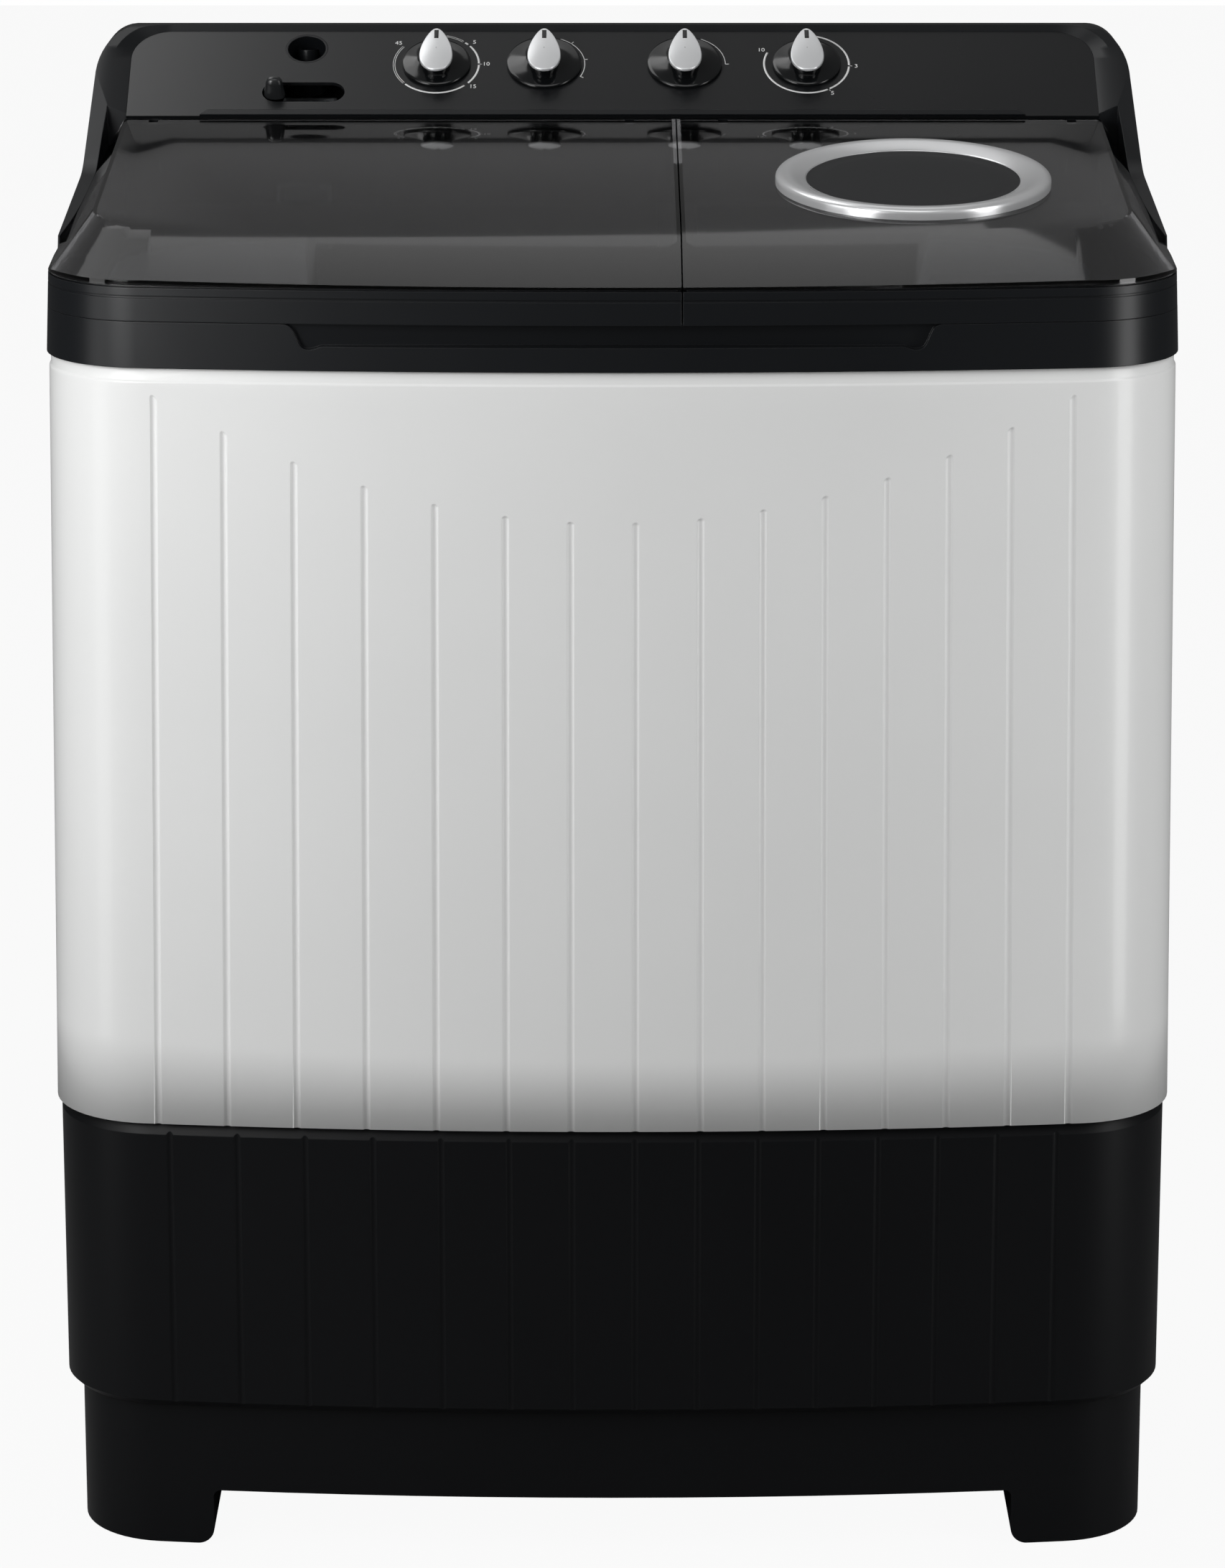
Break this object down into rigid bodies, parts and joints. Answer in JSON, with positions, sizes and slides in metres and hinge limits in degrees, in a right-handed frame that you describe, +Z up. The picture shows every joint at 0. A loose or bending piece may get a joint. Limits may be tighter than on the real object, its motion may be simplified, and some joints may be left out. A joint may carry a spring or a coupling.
{
  "type": "twin tub washing machine",
  "caption": "Top-loading semi-automatic washer with a wash tub, a spin basket, two smoked lids and a sloping dial console.",
  "frame": {"origin": "middle of the bounding box's bottom, on the floor", "axes": "+X to the right seen from the front, -Y to the front, +Z up"},
  "size_m": [0.794, 0.48, 1.0417],
  "materials": {
    "white_gloss": "gloss white polypropylene moulding",
    "base_black": "satin black moulding",
    "rubber_black": "matt black rubber",
    "grey_panel": "satin grey moulding",
    "zinc": "bright zinc plating",
    "deck_dark": "semi-gloss blue-black moulding",
    "panel_gloss": "piano gloss",
    "smoke_clear": "smoked clear acrylic",
    "satin_chrome": "satin chrome",
    "matt_disc": "matt",
    "knob_black": "gloss",
    "cap_silver": "silver lacquer",
    "tub_white": "gloss polypropylene",
    "pulsator_blue_grey": "gloss polypropylene",
    "steel_shaft": "ground steel",
    "cast_alloy": "as cast",
    "motor_paint": "black stove enamel",
    "belt_rubber": "ribbed rubber",
    "basket_grey": "pale grey gloss polypropylene",
    "grey_plastic": "satin",
    "clear_safety": "translucent polypropylene",
    "capacitor_can": "drawn can"
  },
  "bodies": {
    "casing": {"cabinet": "white_gloss", "base": "base_black", "leg_pads": "rubber_black", "rear_cover": "grey_panel", "case_screws": "zinc", "cord_gland": "rubber_black", "top_deck": "deck_dark", "console_back": "base_black", "control_panel": "panel_gloss", "hinge_rail": "deck_dark", "lid_hinge_pins": "steel_shaft", "inlet_nipple": "knob_black", "water_chute": "tub_white", "spin_filling_pipe": "grey_plastic", "wash_tub": "tub_white", "wash_gearbox": "cast_alloy", "gearbox_bolts": "zinc", "drive_belt": "belt_rubber", "wash_motor": "motor_paint", "wash_motor_bracket": "zinc", "spin_tub": "tub_white", "shaft_seal": "rubber_black", "spin_bearing": "steel_shaft", "spin_motor": "motor_paint", "spin_motor_plate": "zinc", "motor_springs": "steel_shaft", "motor_dampers": "rubber_black", "drain_valve": "grey_plastic", "drain_pipe": "rubber_black", "capacitor": "capacitor_can", "timers": "grey_plastic", "selector_switches": "grey_plastic"},
    "wash_lid": {"wash_lid_frame": "deck_dark", "wash_lid_window": "smoke_clear"},
    "spin_lid": {"spin_lid_frame": "deck_dark", "spin_lid_window": "smoke_clear", "spin_lid_ring": "satin_chrome", "spin_lid_disc": "matt_disc"},
    "water_lever": {"water_selector_lever": "knob_black"},
    "pulsator": {"pulsator": "pulsator_blue_grey", "pulsator_shaft": "steel_shaft"},
    "drive_pulley": {"drive_pulley": "cast_alloy"},
    "motor_pulley": {"motor_pulley": "cast_alloy", "wash_motor_shaft": "steel_shaft"},
    "spin_basket": {"spin_basket": "basket_grey", "spin_shaft": "steel_shaft", "brake_drum": "cast_alloy", "spin_motor_shaft": "steel_shaft"},
    "brake_lever": {"brake_lever": "zinc"},
    "safety_lid": {"safety_lid": "clear_safety"},
    "lint_filter": {"lint_filter": "grey_plastic"},
    "drain_rod": {"drain_rod": "grey_plastic"},
    "wash_timer": {"wash_timer_knob": "knob_black", "wash_timer_cap": "cap_silver"},
    "wash_selector": {"wash_selector_knob": "knob_black", "wash_selector_cap": "cap_silver"},
    "drain_selector": {"drain_selector_knob": "knob_black", "drain_selector_cap": "cap_silver"},
    "spin_timer": {"spin_timer_knob": "knob_black", "spin_timer_cap": "cap_silver"}
  },
  "joints": [
    {"name": "wash_lid_hinge", "type": "hinge", "parent": "casing", "child": "wash_lid", "pos_m": [-0.166, 0.13, 0.97359], "axis": [-1, 0, 0], "range_deg": [0, 90]},
    {"name": "spin_lid_hinge", "type": "hinge", "parent": "casing", "child": "spin_lid", "pos_m": [0.2125, 0.13, 0.97359], "axis": [-1, 0, 0], "range_deg": [0, 90]},
    {"name": "wash_timer_turn", "type": "hinge", "parent": "casing", "child": "wash_timer", "pos_m": [-0.1315, 0.18397, 1.01528], "axis": [0, 0.5664, -0.8241], "range_deg": [0, 320]},
    {"name": "wash_selector_turn", "type": "hinge", "parent": "casing", "child": "wash_selector", "pos_m": [-0.051, 0.18397, 1.01528], "axis": [0, 0.5664, -0.8241], "range_deg": [0, 150]},
    {"name": "drain_selector_turn", "type": "hinge", "parent": "casing", "child": "drain_selector", "pos_m": [0.054, 0.18397, 1.01528], "axis": [0, 0.5664, -0.8241], "range_deg": [0, 100]},
    {"name": "spin_timer_turn", "type": "hinge", "parent": "casing", "child": "spin_timer", "pos_m": [0.145, 0.18397, 1.01528], "axis": [0, 0.5664, -0.8241], "range_deg": [0, 300]},
    {"name": "water_lever_slide", "type": "slide", "parent": "casing", "child": "water_lever", "axis": [1, 0, 0], "range_m": [0, 0.043]},
    {"name": "pulsator_spin", "type": "hinge", "parent": "casing", "child": "pulsator", "pos_m": [-0.166, -0.0455, 0.44], "axis": [0, 0, 1], "continuous": true},
    {"name": "drive_pulley_spin", "type": "hinge", "parent": "casing", "child": "drive_pulley", "pos_m": [-0.166, -0.0455, 0.3466], "axis": [0, 0, 1], "continuous": true},
    {"name": "motor_pulley_spin", "type": "hinge", "parent": "casing", "child": "motor_pulley", "pos_m": [-0.001, -0.0455, 0.3466], "axis": [0, 0, 1], "continuous": true},
    {"name": "basket_spin", "type": "hinge", "parent": "casing", "child": "spin_basket", "pos_m": [0.2125, -0.043, 0.6], "axis": [0, 0, 1], "continuous": true},
    {"name": "brake_turn", "type": "hinge", "parent": "casing", "child": "brake_lever", "pos_m": [0.2945, -0.013, 0.3266], "axis": [0, 0, -1], "range_deg": [0, 4.1]},
    {"name": "safety_lid_lift", "type": "slide", "parent": "casing", "child": "safety_lid", "axis": [0, 0, 1], "range_m": [0, 0.025]},
    {"name": "lint_filter_lift", "type": "slide", "parent": "casing", "child": "lint_filter", "axis": [0, 0, 1], "range_m": [0, 0.08]},
    {"name": "drain_rod_lift", "type": "slide", "parent": "casing", "child": "drain_rod", "axis": [0, 0, 1], "range_m": [0, 0.0121]}
  ],
  "couplings": [
    {"joint": "drive_pulley_spin", "follows": "pulsator_spin", "ratio": 5},
    {"joint": "motor_pulley_spin", "follows": "pulsator_spin", "ratio": 25.2},
    {"joint": "brake_turn", "follows": "spin_lid_hinge", "ratio": 0.04},
    {"joint": "drain_rod_lift", "follows": "drain_selector_turn", "m_per_rad": 0.0069}
  ]
}
